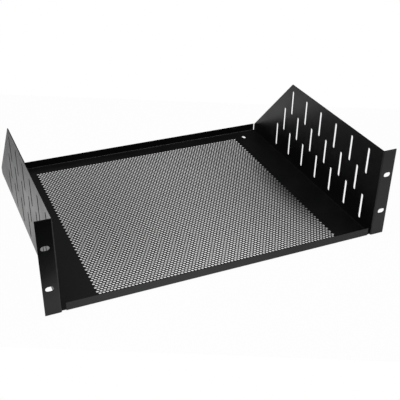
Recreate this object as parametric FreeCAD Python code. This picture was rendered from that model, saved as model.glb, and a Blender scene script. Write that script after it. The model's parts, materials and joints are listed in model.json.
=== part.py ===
import FreeCAD, Part
import math
import os

# Cantilever rack shelf, three rack units high: one steel sheet, punched flat and then folded.
# Floor with a perforated field, two side walls with vent slots, two screw ears turned outwards,
# and a low lip along the front and the rear.
# Frame: X across the rack, Y from the ears (low Y) to the rear lip, Z up.
# Origin: on the underside, midway between the ears and midway from front to rear.
# All sizes are millimetres.

# Sheet and folds
sheet_t = 1.2
bend_in_r = 0.8

# Rack panel standard
unit_h = 44.45
rack_units = 3
panel_gap_h = 0.85
ear_span = 482.6
ear_w = 19.3
ear_slot_inset = 8.75
ear_slot_edge = 37.7
ear_slot_rise = 57.15
ear_slot_w = 7.0
ear_slot_len = 10.5

# Folded body
depth = 368.0
lip_h = 12.5
rear_wall_h = 12.5
wall_cut_deg = 45.0

# Corner reliefs that let the folds close
front_relief_w = 5.7
rear_relief_w = 2.8
relief_past_fold = 0.6
relief_slit_w = 0.3

# Vent slots in the walls: upright, in three staggered rows
vent_w = 5.0
vent_len = 39.5
vent_pitch = 42.0
vent_row_step = 36.1
vent_first_y = 32.2
vent_first_z = 30.3
vent_edge_gap = 8.0

# Perforated field in the floor
field_side_margin = 50.5
field_front_margin = 14.0
field_rear_margin = 26.0
hole_d = 3.97
hole_pitch = 4.7625

# One opening of this model stands for a patch of the small punched holes.
# It leaves the same share of steel, so weight and air flow stay right.
cell_pitch = 26.8

# Tie-down holes in the rear margin
tie_hole_d = 6.5
tie_hole_side_inset = 31.3
tie_hole_rear_inset = 22.3

# Worked out from the sizes above
bend_out_r = bend_in_r + sheet_t
relief_len = bend_out_r + relief_past_fold
panel_h = rack_units * unit_h - panel_gap_h
front_y = -depth / 2
rear_y = depth / 2
ear_x = ear_span / 2
body_x = ear_x - ear_w
wall_in_x = body_x - sheet_t
lip_front_x = body_x - front_relief_w
lip_rear_x = wall_in_x - rear_relief_w


def fold_line(corners, radius):
    """Outer line of a folded sheet: straight runs joined by one arc at every inner corner."""
    edges = []
    start = corners[0]
    for before, corner, after in zip(corners, corners[1:], corners[2:]):
        back = (before - corner).normalize()
        ahead = (after - corner).normalize()
        half_turn = back.getAngle(ahead) / 2
        arc_start = corner + back * (radius / math.tan(half_turn))
        arc_end = corner + ahead * (radius / math.tan(half_turn))
        middle_way = (back + ahead).normalize()
        arc_middle = corner + middle_way * (radius / math.sin(half_turn) - radius)
        edges.append(Part.LineSegment(start, arc_start).toShape())
        edges.append(Part.Arc(arc_start, arc_middle, arc_end).toShape())
        start = arc_end
    edges.append(Part.LineSegment(start, corners[-1]).toShape())
    return edges


def folded_strip(outer_corners, inner_corners, along):
    """Sheet of even thickness between its outer and inner fold lines, run out along a direction."""
    outer = fold_line(outer_corners, bend_out_r)
    inner = fold_line(inner_corners, bend_in_r)
    ends = [
        Part.LineSegment(outer_corners[0], inner_corners[0]).toShape(),
        Part.LineSegment(outer_corners[-1], inner_corners[-1]).toShape(),
    ]
    section = Part.Wire(Part.__sortEdges__(outer + inner + ends))
    return Part.Face(section).extrude(along)


def floor_and_walls():
    """Channel of floor and both walls; the walls' tops fall at an angle to the rear."""
    start_y = front_y + bend_out_r
    length = depth - 2 * bend_out_r

    def channel_line(x, z):
        return [
            FreeCAD.Vector(-x, start_y, panel_h),
            FreeCAD.Vector(-x, start_y, z),
            FreeCAD.Vector(x, start_y, z),
            FreeCAD.Vector(x, start_y, panel_h),
        ]

    channel = folded_strip(
        channel_line(body_x, 0),
        channel_line(wall_in_x, sheet_t),
        FreeCAD.Vector(0, length, 0),
    )
    fall = panel_h - rear_wall_h
    run = fall / math.tan(math.radians(wall_cut_deg))
    wall_end_y = start_y + length
    cut_line = Part.makePolygon([
        FreeCAD.Vector(-body_x, wall_end_y - run, panel_h),
        FreeCAD.Vector(-body_x, wall_end_y, rear_wall_h),
        FreeCAD.Vector(-body_x, wall_end_y, panel_h),
        FreeCAD.Vector(-body_x, wall_end_y - run, panel_h),
    ])
    return channel.cut(Part.Face(cut_line).extrude(FreeCAD.Vector(2 * body_x, 0, 0)))


def lip(edge_y, inward, half_width):
    """Low upright edge folded up from the floor; inward is +1 at the front and -1 at the rear."""
    root_y = edge_y + inward * relief_len

    def lip_line(y, z):
        return [
            FreeCAD.Vector(-half_width, root_y, z),
            FreeCAD.Vector(-half_width, y, z),
            FreeCAD.Vector(-half_width, y, lip_h),
        ]

    return folded_strip(
        lip_line(edge_y, 0),
        lip_line(edge_y + inward * sheet_t, sheet_t),
        FreeCAD.Vector(2 * half_width, 0, 0),
    )


def ear(side):
    """Screw ear turned outwards from a wall's front edge; side is -1 left and +1 right."""

    def ear_line(x, y):
        return [
            FreeCAD.Vector(side * x, front_y + relief_len, 0),
            FreeCAD.Vector(side * x, y, 0),
            FreeCAD.Vector(side * ear_x, y, 0),
        ]

    return folded_strip(
        ear_line(wall_in_x, front_y),
        ear_line(body_x, front_y + sheet_t),
        FreeCAD.Vector(0, 0, panel_h),
    )


def front_reliefs(side):
    """Notch between the front lip's end and the ear's fold, and a slit that parts wall and floor fold."""

    def cut_out(near_x, far_x, start_y, height):
        low_x = min(side * near_x, side * far_x)
        length = front_y + relief_len - start_y
        return Part.makeBox(far_x - near_x, length, height, FreeCAD.Vector(low_x, start_y, 0))

    return [
        cut_out(lip_front_x, wall_in_x, front_y, relief_len),
        cut_out(wall_in_x, body_x, front_y + relief_len - relief_slit_w, bend_out_r),
    ]


def slot_tool(width, length, height, centre, across, through_way):
    """Round-ended punch: its length runs along across, and it cuts height along through_way."""
    radius = width / 2
    reach = across * (length / 2 - radius)
    side_step = through_way.cross(across) * radius
    face = Part.Face(Part.Wire([
        Part.LineSegment(centre - reach - side_step, centre + reach - side_step).toShape(),
        Part.Arc(centre + reach - side_step, centre + reach + across * radius,
                 centre + reach + side_step).toShape(),
        Part.LineSegment(centre + reach + side_step, centre - reach + side_step).toShape(),
        Part.Arc(centre - reach + side_step, centre - reach - across * radius,
                 centre - reach - side_step).toShape(),
    ]))
    return face.extrude(through_way * height)


def wall_end_at(z):
    """Place of the wall's rear edge at a height."""
    fall = z - rear_wall_h
    return rear_y - bend_out_r - max(0, fall) / math.tan(math.radians(wall_cut_deg))


def vent_tools():
    """Wall slots, each punched through both walls in one line; odd rows step half a pitch back."""
    tools = []
    top_z = panel_h - vent_edge_gap - vent_len / 2
    rows = int((top_z - vent_first_z) / vent_row_step) + 1
    for row in range(rows):
        z = vent_first_z + row * vent_row_step
        y = front_y + vent_first_y + (row % 2) * vent_pitch / 2
        last_y = wall_end_at(z + vent_len / 2) - vent_edge_gap - vent_w / 2
        while y <= last_y:
            centre = FreeCAD.Vector(-body_x, y, z)
            tools.append(slot_tool(vent_w, vent_len, 2 * body_x, centre,
                                   FreeCAD.Vector(0, 0, 1), FreeCAD.Vector(1, 0, 0)))
            y += vent_pitch
    return tools


def ear_slot_tools():
    """Four rack screw slots, two in each ear."""
    tools = []
    for side in (-1, 1):
        for z in (ear_slot_edge, ear_slot_edge + ear_slot_rise):
            centre = FreeCAD.Vector(side * (ear_x - ear_slot_inset), front_y, z)
            tools.append(slot_tool(ear_slot_w, ear_slot_len, sheet_t, centre,
                                   FreeCAD.Vector(1, 0, 0), FreeCAD.Vector(0, 1, 0)))
    return tools


def field_tools():
    """Six-sided openings in staggered rows, as many as the perforated field's outline holds."""
    field_w = 2 * (body_x - field_side_margin)
    field_l = depth - field_front_margin - field_rear_margin
    open_share = math.pi / (2 * math.sqrt(3)) * (hole_d / hole_pitch) ** 2
    flat_w = cell_pitch * math.sqrt(open_share)
    point_r = flat_w / math.sqrt(3)
    row_step = cell_pitch * math.sqrt(3) / 2
    per_row = int((field_w - flat_w) / cell_pitch) + 1
    rows = int((field_l - 2 * point_r) / row_step) + 1
    middle_y = (front_y + field_front_margin + rear_y - field_rear_margin) / 2
    tools = []
    for row in range(rows):
        y = middle_y + (row - (rows - 1) / 2) * row_step
        in_this_row = per_row - row % 2
        for place in range(in_this_row):
            x = (place - (in_this_row - 1) / 2) * cell_pitch
            corners = [
                FreeCAD.Vector(x + point_r * math.sin(math.radians(60 * k)),
                               y + point_r * math.cos(math.radians(60 * k)), 0)
                for k in range(7)
            ]
            cell = Part.Face(Part.makePolygon(corners))
            tools.append(cell.extrude(FreeCAD.Vector(0, 0, sheet_t)))
    return tools


def tie_hole_tools():
    """Round hole near each rear corner of the floor."""
    x = body_x - tie_hole_side_inset
    y = rear_y - tie_hole_rear_inset
    return [
        Part.makeCylinder(tie_hole_d / 2, sheet_t, FreeCAD.Vector(side * x, y, 0))
        for side in (-1, 1)
    ]


def shelf():
    """The whole folded and punched sheet."""
    folded = floor_and_walls().fuse([
        lip(front_y, 1, lip_front_x),
        lip(rear_y, -1, lip_rear_x),
        ear(-1),
        ear(1),
    ])
    tools = vent_tools() + ear_slot_tools() + field_tools() + tie_hole_tools()
    tools += front_reliefs(-1) + front_reliefs(1)
    return folded.removeSplitter().cut(tools)


os.makedirs("parts", exist_ok=True)
shelf().exportStep("parts/shelf.step")
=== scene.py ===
import json
import math

import bmesh
import bpy
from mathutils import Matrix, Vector
from mathutils.geometry import delaunay_2d_cdt

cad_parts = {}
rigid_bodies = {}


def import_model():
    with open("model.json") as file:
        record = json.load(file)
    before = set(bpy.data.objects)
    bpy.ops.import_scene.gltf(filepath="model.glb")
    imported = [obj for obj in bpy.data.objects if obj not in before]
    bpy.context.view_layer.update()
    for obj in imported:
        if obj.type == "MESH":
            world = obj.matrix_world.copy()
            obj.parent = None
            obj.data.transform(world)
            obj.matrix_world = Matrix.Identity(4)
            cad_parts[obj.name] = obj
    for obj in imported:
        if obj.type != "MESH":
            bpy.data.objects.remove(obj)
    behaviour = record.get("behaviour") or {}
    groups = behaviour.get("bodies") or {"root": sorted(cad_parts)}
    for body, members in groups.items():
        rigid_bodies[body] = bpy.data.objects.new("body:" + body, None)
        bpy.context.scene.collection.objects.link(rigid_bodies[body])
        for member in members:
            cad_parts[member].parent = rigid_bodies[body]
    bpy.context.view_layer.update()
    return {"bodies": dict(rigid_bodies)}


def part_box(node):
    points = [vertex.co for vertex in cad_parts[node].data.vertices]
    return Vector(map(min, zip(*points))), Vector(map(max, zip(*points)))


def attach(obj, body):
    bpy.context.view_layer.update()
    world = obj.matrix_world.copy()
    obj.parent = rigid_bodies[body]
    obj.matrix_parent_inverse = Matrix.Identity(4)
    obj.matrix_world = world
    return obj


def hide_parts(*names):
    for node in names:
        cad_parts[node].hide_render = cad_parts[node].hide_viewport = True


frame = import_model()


# Perforated field
# Round holes in staggered rows, punched through the flat steel before it is folded. Each hole
# keeps its own six-sided share of steel, and the shares join into one sheet. Its front and rear
# rows are two meshes, which meet edge to edge. The coat is sprayed on dry and baked after folding.

body = sorted(frame["bodies"])[0]
shelf_low, shelf_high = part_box("shelf")
steel_t = 0.0012
hole_d = 0.00397
hole_pitch = 0.0047625
hole_row_step = hole_pitch * math.sqrt(3) / 2
holes_in_long_row = 73
hole_rows = 81
rows_in_front_mesh = 41
hole_corners = 12
field_front_margin = 0.014
field_rear_margin = 0.026
field_middle_y = (shelf_low.y + field_front_margin + shelf_high.y - field_rear_margin) / 2

# Corners of a hole's share, in half pitches across and thirds of a row step along.
share_corners = [(1, 1), (0, 2), (-1, 1), (-1, -1), (0, -2), (1, -1)]


def place_on_field(spot):
    """Place on the flat sheet of a spot, in half pitches across and thirds of a row along."""
    across, along = spot
    x = (across - (holes_in_long_row - 1)) * hole_pitch / 2
    y = field_middle_y + (along / 3 - (hole_rows - 1) / 2) * hole_row_step
    return x, y


def hole_centres(rows):
    """Spots of the hole centres in some rows; every second row has one hole less."""
    return [
        (2 * place + row % 2, 3 * row)
        for row in rows
        for place in range(holes_in_long_row - row % 2)
    ]


def punched_rows(rows):
    """Points and faces of the steel round the holes of some rows, with no thickness yet."""
    points = []
    faces = []
    number_of = {}
    turn = 2 * math.pi / hole_corners
    corner_r = hole_d * math.sqrt(math.pi / (2 * hole_corners * math.sin(turn)))
    for across, along in hole_centres(rows):
        corners = []
        for step_across, step_along in share_corners:
            spot = (across + step_across, along + step_along)
            if spot not in number_of:
                number_of[spot] = len(points)
                points.append((*place_on_field(spot), shelf_low.z))
            corners.append(number_of[spot])
        x, y = place_on_field((across, along))
        first = len(points)
        points += [
            (x + corner_r * math.cos(k * turn), y + corner_r * math.sin(k * turn), shelf_low.z)
            for k in range(hole_corners)
        ]
        for side in range(6):
            start = corners[side]
            end = corners[(side + 1) % 6]
            near, middle, far = (first + (2 * side + step) % hole_corners for step in (1, 2, 3))
            faces += [(start, end, middle), (start, middle, near), (end, far, middle)]
    return points, faces


coat_black = (0.003, 0.003, 0.0032, 1)
coat_pale = (0.005, 0.005, 0.0053, 1)
coat_ior = 1.5
coat_rough_low = 0.3
coat_rough_high = 0.38
cloud_scale = 18
cloud_detail = 3
cloud_low = 0.3
cloud_high = 0.7
pebble_scale = 1400
pebble_detail = 2
pebble_depth = 0.00004
pebble_strength = 0.25


def powder_coat():
    """Black satin coat with a fine pebbled skin, slightly uneven in tone and gloss."""
    coat = bpy.data.materials.new("powder_coat")
    coat.use_nodes = True
    nodes = coat.node_tree.nodes
    link = coat.node_tree.links.new
    shader = nodes["Principled BSDF"]
    shader.inputs["Metallic"].default_value = 0
    shader.inputs["IOR"].default_value = coat_ior
    place = nodes.new("ShaderNodeTexCoord")

    cloud = nodes.new("ShaderNodeTexNoise")
    cloud.inputs["Scale"].default_value = cloud_scale
    cloud.inputs["Detail"].default_value = cloud_detail
    link(place.outputs["Object"], cloud.inputs["Vector"])
    tone = nodes.new("ShaderNodeMix")
    tone.data_type = "RGBA"
    tone.inputs[6].default_value = coat_black
    tone.inputs[7].default_value = coat_pale
    link(cloud.outputs["Fac"], tone.inputs["Factor"])
    link(tone.outputs[2], shader.inputs["Base Color"])

    gloss = nodes.new("ShaderNodeMapRange")
    gloss.inputs["From Min"].default_value = cloud_low
    gloss.inputs["From Max"].default_value = cloud_high
    gloss.inputs["To Min"].default_value = coat_rough_low
    gloss.inputs["To Max"].default_value = coat_rough_high
    link(cloud.outputs["Fac"], gloss.inputs["Value"])
    link(gloss.outputs["Result"], shader.inputs["Roughness"])

    pebble = nodes.new("ShaderNodeTexNoise")
    pebble.inputs["Scale"].default_value = pebble_scale
    pebble.inputs["Detail"].default_value = pebble_detail
    link(place.outputs["Object"], pebble.inputs["Vector"])
    skin = nodes.new("ShaderNodeBump")
    skin.inputs["Strength"].default_value = pebble_strength
    skin.inputs["Distance"].default_value = pebble_depth
    link(pebble.outputs["Fac"], skin.inputs["Height"])
    link(skin.outputs["Normal"], shader.inputs["Normal"])
    return coat


coat = powder_coat()


def add_piece(name, mesh):
    piece = bpy.data.objects.new(name, mesh)
    bpy.context.scene.collection.objects.link(piece)
    return piece


def add_coated_steel(name, mesh):
    """Gives a thin mesh its steel, towards the inside of the shelf, and its coat and place."""
    piece = add_piece(name, mesh)
    mesh.materials.append(coat)
    steel = piece.modifiers.new("steel", "SOLIDIFY")
    steel.thickness = steel_t
    steel.offset = 1
    steel.use_even_offset = True
    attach(piece, body)
    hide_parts("shelf")
    return piece


for name, rows in (
    ("field_front", range(rows_in_front_mesh)),
    ("field_rear", range(rows_in_front_mesh, hole_rows)),
):
    points, faces = punched_rows(rows)
    mesh = bpy.data.meshes.new(name)
    mesh.from_pydata(points, [], faces)
    add_coated_steel(name, mesh)


# Folded sheet
# The rest of the same steel sheet: floor in the middle, a wall on each side, an ear past each
# wall's front edge, and a lip past the floor's front and rear edges. It is punched flat. Then the
# walls and lips are folded up and the ears outwards, each by a quarter turn of the same radius.

fold_in_r = 0.0008
fold_out_r = fold_in_r + steel_t
fold_out_len = fold_out_r * math.pi / 2
fold_in_len = fold_in_r * math.pi / 2
fold_steps = 8
ear_w = 0.0193
wall_x = shelf_high.x - ear_w
wall_h = shelf_high.z - shelf_low.z
wall_rear_h = 0.0125
wall_cut_slope = math.tan(math.radians(45))
lip_h = 0.0125
lip_front_gap = 0.0064
lip_rear_gap = 0.0009
lip_front_x = wall_x - lip_front_gap
lip_rear_x = wall_x - steel_t - lip_rear_gap
relief_past_fold = 0.0006
relief_slit_w = 0.0003
relief_y = shelf_low.y + fold_out_r + relief_past_fold
slit_y = relief_y - relief_slit_w / 2
front_fold_y = shelf_low.y + fold_out_r
rear_fold_y = shelf_high.y - fold_out_r
floor_flat_x = wall_x - fold_out_r
lip_reach = fold_out_len + lip_h - fold_out_r
ear_reach = fold_in_len + ear_w - fold_in_r

# Wall vents are upright slots in three staggered rows. Four slots take the rack screws, and a
# short slot near each rear corner of the floor takes a strap or a screw.
vent_w = 0.005
vent_len = 0.0395
vent_pitch = 0.042
vent_rows = 3
vent_row_step = 0.0361
vent_first_y = 0.0322
vent_first_z = 0.0303
vent_edge_gap = 0.008
ear_slot_w = 0.007
ear_slot_len = 0.0105
ear_slot_inset = 0.00875
ear_slot_low_z = 0.0377
ear_slot_rise = 0.05715
tie_slot_w = 0.0056
tie_slot_len = 0.0092
tie_slot_side_inset = 0.0313
tie_slot_rear_inset = 0.0223
tie_slot_x = wall_x - tie_slot_side_inset
tie_slot_y = shelf_high.y - tie_slot_rear_inset
slot_end_corners = 6
edge_break_w = 0.0002
edge_break_from = math.radians(50)
same_place = 1e-6
on_cut_line = 1e-7
same_corner = 1e-8


def up_the_wall(z):
    """Distance across the flat sheet, from the middle, of a height on the folded wall."""
    return floor_flat_x + fold_out_len + z - fold_out_r


def sheet_outline():
    """Corners of the flat sheet, right half from front to rear, then the left half back again.

    Places on it are measured along the underside, which becomes the outside of the walls and the
    back of the ears.
    """
    wall_run = (wall_h - wall_rear_h) / wall_cut_slope
    right = [
        (lip_front_x, front_fold_y - lip_reach),
        (lip_front_x, relief_y),
        (up_the_wall(fold_out_r), relief_y),
        (up_the_wall(fold_out_r), relief_y - relief_slit_w),
        (up_the_wall(0), relief_y - relief_slit_w),
        (up_the_wall(0), front_fold_y - ear_reach),
        (up_the_wall(wall_h), front_fold_y - ear_reach),
        (up_the_wall(wall_h), rear_fold_y - wall_run),
        (up_the_wall(wall_rear_h), rear_fold_y),
        (lip_rear_x, rear_fold_y),
        (lip_rear_x, rear_fold_y + lip_reach),
    ]
    return right + [(-x, y) for x, y in reversed(right)]


def round_ended(x, y, across, along):
    """Outline of a punched slot of given overall size."""
    r = min(across, along) / 2
    line = []
    for quarter, (side, end) in enumerate([(1, 1), (-1, 1), (-1, -1), (1, -1)]):
        for k in range(slot_end_corners + 1):
            turn = math.pi / 2 * (quarter + k / slot_end_corners)
            line.append((x + side * (across / 2 - r) + r * math.cos(turn),
                         y + end * (along / 2 - r) + r * math.sin(turn)))
    return [spot for k, spot in enumerate(line) if math.dist(spot, line[k - 1]) > same_place]


def vent_outlines():
    """Vents of the right wall, on the flat sheet, as far back as the wall's sloped edge allows."""
    vents = []
    for row in range(vent_rows):
        z = vent_first_z + row * vent_row_step
        y = shelf_low.y + vent_first_y + row % 2 * vent_pitch / 2
        wall_end = rear_fold_y - (z + vent_len / 2 - wall_rear_h) / wall_cut_slope
        while y <= wall_end - vent_edge_gap - vent_w / 2:
            vents.append(round_ended(up_the_wall(z), y, vent_len, vent_w))
            y += vent_pitch
    return vents


def field_outline():
    """Stepped line round all the holes' shares, along which the field joins the plain margin."""
    sides = set()
    for across, along in hole_centres(range(hole_rows)):
        ring = [(across + a, along + b) for a, b in share_corners]
        sides.update(zip(ring, ring[1:] + ring[:1]))
    outer = {start: end for start, end in sides if (end, start) not in sides}
    spot = min(outer)
    line = []
    while spot in outer:
        line.append(place_on_field(spot))
        spot = outer.pop(spot)
    return line


def punched_outlines():
    """Every opening outside the perforated field, right and left, and then the field itself."""
    screw_y = front_fold_y - ear_reach + ear_slot_inset
    right = vent_outlines()
    right += [
        round_ended(up_the_wall(z), screw_y, ear_slot_w, ear_slot_len)
        for z in (ear_slot_low_z, ear_slot_low_z + ear_slot_rise)
    ]
    right.append(round_ended(tie_slot_x, tie_slot_y, tie_slot_w, tie_slot_len))
    left = [[(-x, y) for x, y in reversed(line)] for line in right]
    return right + left + [field_outline()]


def flat_sheet():
    """Flat steel between the outline and the openings."""
    places = []
    loops = []
    for line in [sheet_outline()] + punched_outlines():
        loops.append(list(range(len(places), len(places) + len(line))))
        places += [Vector(spot) for spot in line]
    spots, _, faces, _, _, origins = delaunay_2d_cdt(places, [], loops, 1, same_corner)
    steel = [face for face, origin in zip(faces, origins) if origin == [0]]
    mesh = bpy.data.meshes.new("folded_sheet")
    mesh.from_pydata([(spot.x, spot.y, shelf_low.z) for spot in spots], [], steel)
    return mesh


def cut_along(sheet, point, normal, keeps):
    """Cuts the faces of one region of the sheet along a line, so that it can bend there."""
    region = [face for face in sheet.faces if keeps(face.calc_center_median())]
    parts = set(region)
    for face in region:
        parts.update(face.edges)
        parts.update(face.verts)
    bmesh.ops.bisect_plane(
        sheet, geom=list(parts), dist=on_cut_line, plane_co=point, plane_no=normal)


def cut_fold_lines(sheet):
    """Cuts the sheet along every line at which a fold starts, turns or ends."""
    across = Vector((1, 0, 0))
    along = Vector((0, 1, 0))
    cut_along(sheet, Vector((0, slit_y, 0)), along, lambda c: True)
    for step in range(fold_steps + 1):
        share = step / fold_steps
        for side in (-1, 1):
            x = side * (floor_flat_x + share * fold_out_len)
            cut_along(sheet, Vector((x, 0, 0)), across, lambda c: c.y > slit_y)
        ear_y = front_fold_y - share * fold_in_len
        cut_along(sheet, Vector((0, ear_y, 0)), along, lambda c: abs(c.x) > lip_front_x)
        lip_y = front_fold_y - share * fold_out_len
        cut_along(sheet, Vector((0, lip_y, 0)), along, lambda c: abs(c.x) < lip_front_x)
        lip_y = rear_fold_y + share * fold_out_len
        cut_along(sheet, Vector((0, lip_y, 0)), along, lambda c: True)


def folded(reach, radius):
    """Sideways and upward travel of a point at some reach past the start of a fold."""
    turned = min(reach / radius, math.pi / 2)
    past = max(0, reach - radius * math.pi / 2)
    return radius * math.sin(turned), radius * (1 - math.cos(turned)) + past


def fold_point(spot):
    """Moves a point of the flat sheet to its place on the folded shelf."""
    side = math.copysign(1, spot.x)
    across = abs(spot.x)
    before_front = max(0, front_fold_y - spot.y)
    past_rear = spot.y - rear_fold_y
    if spot.y < slit_y and across > lip_front_x + same_place:
        back, out = folded(before_front, fold_in_r)
        height = across - up_the_wall(0)
        y = spot.y + before_front - back
        return Vector((side * (wall_x + out), y, shelf_low.z + height))
    if before_front > 0:
        ahead, up = folded(before_front, fold_out_r)
        return Vector((spot.x, front_fold_y - ahead, shelf_low.z + up))
    if past_rear > 0:
        ahead, up = folded(past_rear, fold_out_r)
        return Vector((spot.x, rear_fold_y + ahead, shelf_low.z + up))
    if across > floor_flat_x:
        out, up = folded(across - floor_flat_x, fold_out_r)
        return Vector((side * (floor_flat_x + out), spot.y, shelf_low.z + up))
    return spot.copy()


folded_mesh = flat_sheet()
sheet = bmesh.new()
sheet.from_mesh(folded_mesh)
cut_fold_lines(sheet)
for point in sheet.verts:
    point.co = fold_point(point.co)
sheet.to_mesh(folded_mesh)
sheet.free()
folded_mesh.shade_smooth()
folded_sheet = add_coated_steel("folded_sheet", folded_mesh)
edge_break = folded_sheet.modifiers.new("edge_break", "BEVEL")
edge_break.width = edge_break_w
edge_break.segments = 2
edge_break.limit_method = "ANGLE"
edge_break.angle_limit = edge_break_from
smooth = folded_sheet.modifiers.new("smooth", "WEIGHTED_NORMAL")
smooth.keep_sharp = True


# Floor
# A wide white sheet of paper just under the shelf. It glows to the camera and keeps a faint part
# of the shelf's shadow. In the gloss of the coat it shows a painted reflection: painted pools of
# glow beside the left wall and in front of the lip, and less glow behind the left wall. A second
# sheet under the perforated field carries painted shade, soft ovals that darken its colour.

floor_reach = 4
floor_ahead = 0.055
floor_behind = 0.65
floor_turn = math.radians(-26)
floor_z = -0.0004
painted_shade_half_x = 0.212
painted_shade_half_y = 0.18
painted_shade_z = -0.0003
floor_white = (0.7, 0.7, 0.7, 1)
share_seen = 0.97
usual_in_gloss = 0.35

# Centre and reach of each painted pool of glow, an oval that shows fully in the gloss of the coat
# as a painted reflection.
painted_gloss_pools = [
    ((-0.29, 0.06), (0.34, 0.32)),
    ((-0.08, -0.2), (0.3, 0.24)),
]

# Centre and reach of the oval where the painted reflection fades from the gloss, behind the left
# wall.
painted_gloss_fade_centre = (-0.27, 0.36)
painted_gloss_fade_reach = (0.25, 0.3)

# Centre, reach and depth of each oval of painted shade, which darkens the floor under the field.
painted_field_shades = [
    ((-0.15, -0.03), (0.25, 0.37), 0.34),
    ((0.19, -0.035), (0.06, 0.18), 1),
    ((0.33, -0.07), (0.4, 0.34), 0.62),
]


def four_sided(name, low_x, high_x, low_y, high_y):
    """Flat mesh from one corner to the opposite one."""
    mesh = bpy.data.meshes.new(name)
    corners = [(low_x, low_y, 0), (high_x, low_y, 0), (high_x, high_y, 0), (low_x, high_y, 0)]
    mesh.from_pydata(corners, [], [(0, 1, 2, 3)])
    return mesh


def soft_oval(tree, centre, reach, outside, inside):
    """A value on the floor that turns softly from one outside an oval to another at its centre."""
    nodes = tree.nodes
    link = tree.links.new
    place = nodes.new("ShaderNodeNewGeometry")
    oval = nodes.new("ShaderNodeMapping")
    oval.vector_type = "TEXTURE"
    oval.inputs["Location"].default_value = (*centre, 0)
    oval.inputs["Scale"].default_value = (*reach, 1)
    link(place.outputs["Position"], oval.inputs["Vector"])
    ball = nodes.new("ShaderNodeTexGradient")
    ball.gradient_type = "SPHERICAL"
    link(oval.outputs[0], ball.inputs["Vector"])
    turn = nodes.new("ShaderNodeMapRange")
    turn.interpolation_type = "SMOOTHSTEP"
    turn.inputs["To Min"].default_value = outside
    turn.inputs["To Max"].default_value = inside
    link(ball.outputs["Fac"], turn.inputs["Value"])
    return turn.outputs["Result"]


def joined(tree, way, first, second):
    """Two values multiplied, or the larger of them."""
    node = tree.nodes.new("ShaderNodeMath")
    node.operation = way
    for socket, value in zip(node.inputs, (first, second)):
        if isinstance(value, bpy.types.NodeSocket):
            tree.links.new(value, socket)
        else:
            socket.default_value = value
    return node.outputs[0]


def with_glow(tree, plain, glow, shares):
    """Mixes a glow into what each kind of ray sees, by the share named for it."""
    ray = tree.nodes.new("ShaderNodeLightPath")
    amount = None
    for kind, share in shares.items():
        part = joined(tree, "MULTIPLY", ray.outputs[kind], share)
        amount = joined(tree, "MAXIMUM", amount, part) if amount else part
    mix = tree.nodes.new("ShaderNodeMixShader")
    tree.links.new(amount, mix.inputs["Fac"])
    tree.links.new(plain.outputs[0], mix.inputs[1])
    tree.links.new(glow.outputs[0], mix.inputs[2])
    return mix.outputs[0]


def white_paper(name, shades):
    """Plain white that glows to the camera, darkened by ovals of painted shade, with painted pools
    of glow in the gloss.
    """
    paper = bpy.data.materials.new(name)
    paper.use_nodes = True
    tree = paper.node_tree
    tree.nodes.remove(tree.nodes["Principled BSDF"])
    plain = tree.nodes.new("ShaderNodeBsdfDiffuse")
    plain.inputs["Color"].default_value = floor_white
    glow = tree.nodes.new("ShaderNodeEmission")
    painted_light_left = None
    # Painted shade: each oval darkens the paper's colour and its glow.
    for centre, reach, depth in shades:
        oval = soft_oval(tree, centre, reach, 1, 1 - depth)
        painted_light_left = joined(tree, "MULTIPLY", painted_light_left, oval) if painted_light_left else oval
    if painted_light_left:
        tree.links.new(painted_light_left, plain.inputs["Color"])
        tree.links.new(painted_light_left, glow.inputs["Color"])
    # Painted reflection: ovals where the floor glows more in the gloss of the coat, and an oval
    # behind the left wall where it glows less.
    in_gloss = usual_in_gloss
    for centre, reach in painted_gloss_pools:
        oval = soft_oval(tree, centre, reach, 0, 1)
        in_gloss = joined(tree, "MAXIMUM", in_gloss, oval)
    painted_gloss_fade = soft_oval(tree, painted_gloss_fade_centre, painted_gloss_fade_reach, 1, 0)
    in_gloss = joined(tree, "MULTIPLY", in_gloss, painted_gloss_fade)
    lit = with_glow(tree, plain, glow, {
        "Is Camera Ray": share_seen,
        "Is Glossy Ray": in_gloss,
        "Is Transmission Ray": share_seen,
    })
    tree.links.new(lit, tree.nodes["Material Output"].inputs["Surface"])
    return paper


floor = add_piece("floor", four_sided(
    "floor", -floor_reach, floor_reach, -floor_ahead, floor_behind))
floor.location = (shelf_low.x, shelf_low.y, floor_z)
floor.rotation_euler = (0, 0, floor_turn)
floor.data.materials.append(white_paper("floor_white", []))

# A sheet under the perforated field whose colour holds painted shade.
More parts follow.
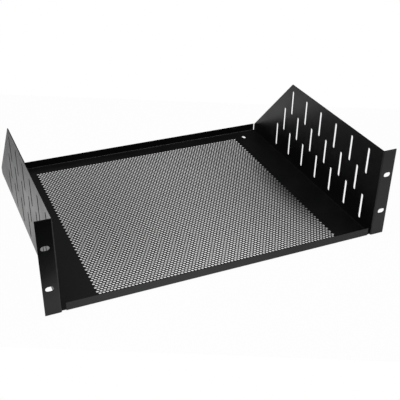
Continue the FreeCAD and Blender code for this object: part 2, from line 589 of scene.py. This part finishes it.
painted_shade_floor = add_piece("painted_shade_floor", four_sided(
    "painted_shade_floor", -painted_shade_half_x, painted_shade_half_x, -painted_shade_half_y, painted_shade_half_y))
painted_shade_floor.location = (0, 0, painted_shade_z)
painted_shade_floor.data.materials.append(white_paper("floor_painted_shade", painted_field_shades))


# Backdrop, lamps and camera
# The backdrop is white to the camera and nearly dark in the gloss of the coat. Five soft round
# lamps stand round the shelf, all well above it and turned to its middle, and the two weakest are
# at the front right and behind. The view is from the front left and above.

room_strength = 0.01
room_in_gloss = 0.01
lamp_size = 1
lens = 66.5
camera_shift = (-0.0590, 0.0454)
camera_place = (-0.3506, -0.8807, 0.5731)
camera_turn = (57.684, -1.795, -24.836)

world = bpy.data.worlds.new("studio")
bpy.context.scene.world = world
world.use_nodes = True
tree = world.node_tree
room = tree.nodes["Background"]
room.inputs["Color"].default_value = (1, 1, 1, 1)
room.inputs["Strength"].default_value = room_strength
backdrop = tree.nodes.new("ShaderNodeBackground")
backdrop.inputs["Color"].default_value = (1, 1, 1, 1)
backdrop.inputs["Strength"].default_value = 1
lit = with_glow(tree, room, backdrop, {
    "Is Camera Ray": 1,
    "Is Glossy Ray": room_in_gloss,
    "Is Transmission Ray": 1,
})
tree.links.new(lit, tree.nodes["World Output"].inputs["Surface"])

for name, place, power in [
    ("left_lamp", (-0.68, 0, 1.88), 15),
    ("front_left_lamp", (-1, -1, 1.41), 10),
    ("right_lamp", (0.68, 0, 1.88), 9),
    ("front_right_lamp", (1, -1, 1.41), 2),
    ("rear_lamp", (0, 1.41, 1.41), 0.5),
]:
    lamp = bpy.data.lights.new(name, "AREA")
    lamp.shape = "DISK"
    lamp.size = lamp_size
    lamp.energy = power
    stand = bpy.data.objects.new(name, lamp)
    stand.location = place
    stand.rotation_euler = (-Vector(place)).to_track_quat("-Z", "Y").to_euler()
    bpy.context.scene.collection.objects.link(stand)

camera = bpy.data.cameras.new("camera")
camera.sensor_width = 36
camera.lens = lens
camera.shift_x, camera.shift_y = camera_shift
view = bpy.data.objects.new("camera", camera)
view.location = camera_place
view.rotation_euler = [math.radians(angle) for angle in camera_turn]
bpy.context.scene.collection.objects.link(view)
bpy.context.scene.camera = view

bpy.context.scene.view_settings.view_transform = "Standard"
